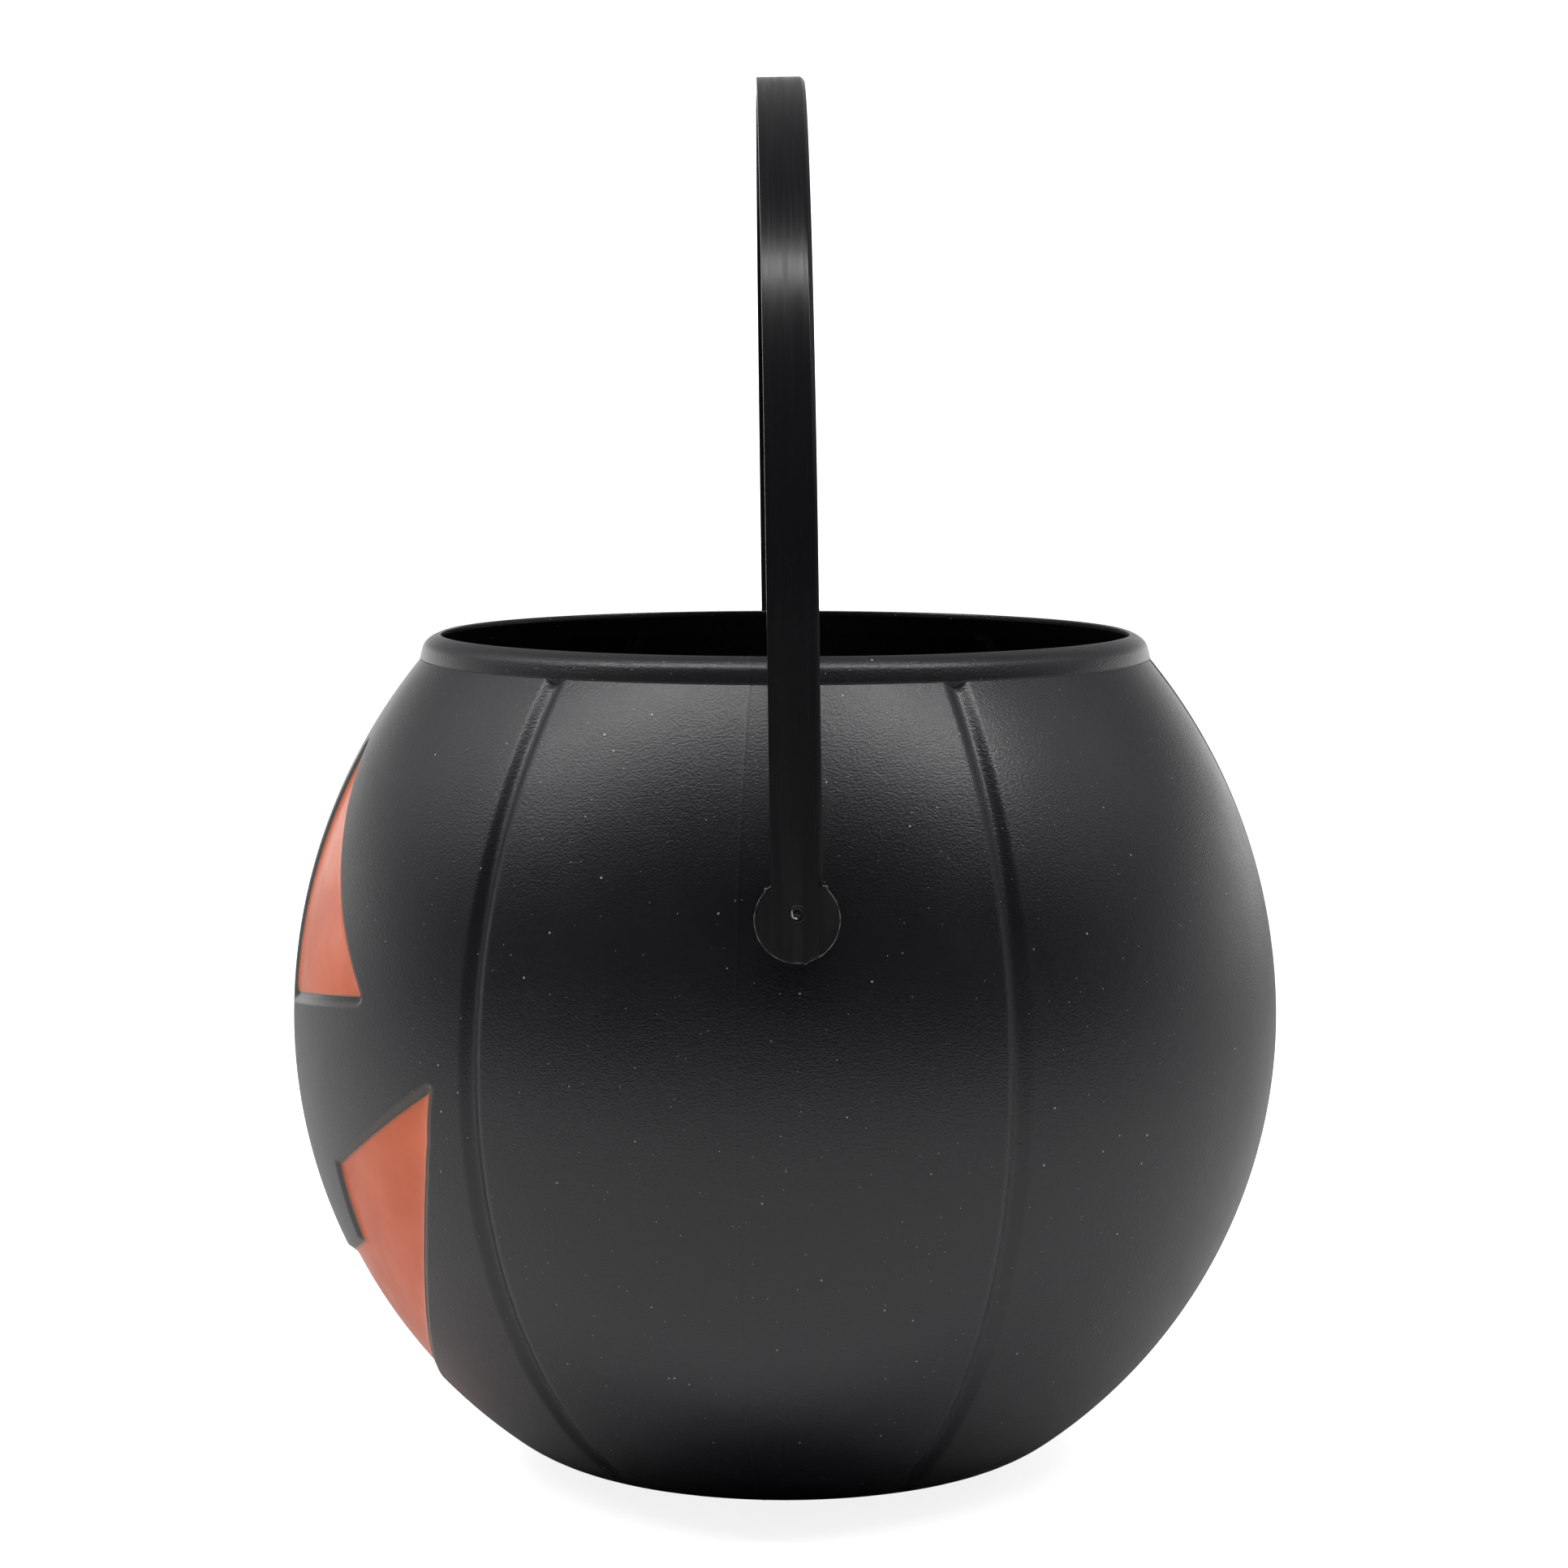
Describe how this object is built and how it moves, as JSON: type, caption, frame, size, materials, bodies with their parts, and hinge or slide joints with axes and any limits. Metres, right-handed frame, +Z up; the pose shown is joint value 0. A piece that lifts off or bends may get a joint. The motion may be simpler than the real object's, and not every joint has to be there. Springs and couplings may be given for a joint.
{
  "type": "pumpkin candy pail",
  "caption": "Round pumpkin-shaped candy pail: a black blown plastic shell with a recessed orange jack-o'-lantern face and a flat strap bail that swings on snap-in pegs.",
  "frame": {"origin": "centre of the base, on the surface that the pail stands on", "axes": "+Z up along the pail's axis, -Y towards the face, X across the face"},
  "size_m": [0.2132, 0.21, 0.2945],
  "materials": {
    "black_shell": "matte with a fine moulded grain",
    "black_strap": "satin",
    "orange_paint": "sprayed paint"
  },
  "bodies": {
    "pail": {"pail_body": "black_shell", "paint_eye_left": "orange_paint", "paint_eye_right": "orange_paint", "paint_nose": "orange_paint", "paint_mouth": "orange_paint"},
    "handle": {"bail": "black_strap"}
  },
  "joints": [
    {"name": "bail_swing", "type": "hinge", "parent": "pail", "child": "handle", "pos_m": [-0.00012, 0.00119, 0.1294], "axis": [0.9949, 0.1011, 0], "range_deg": [-125, 124]}
  ]
}
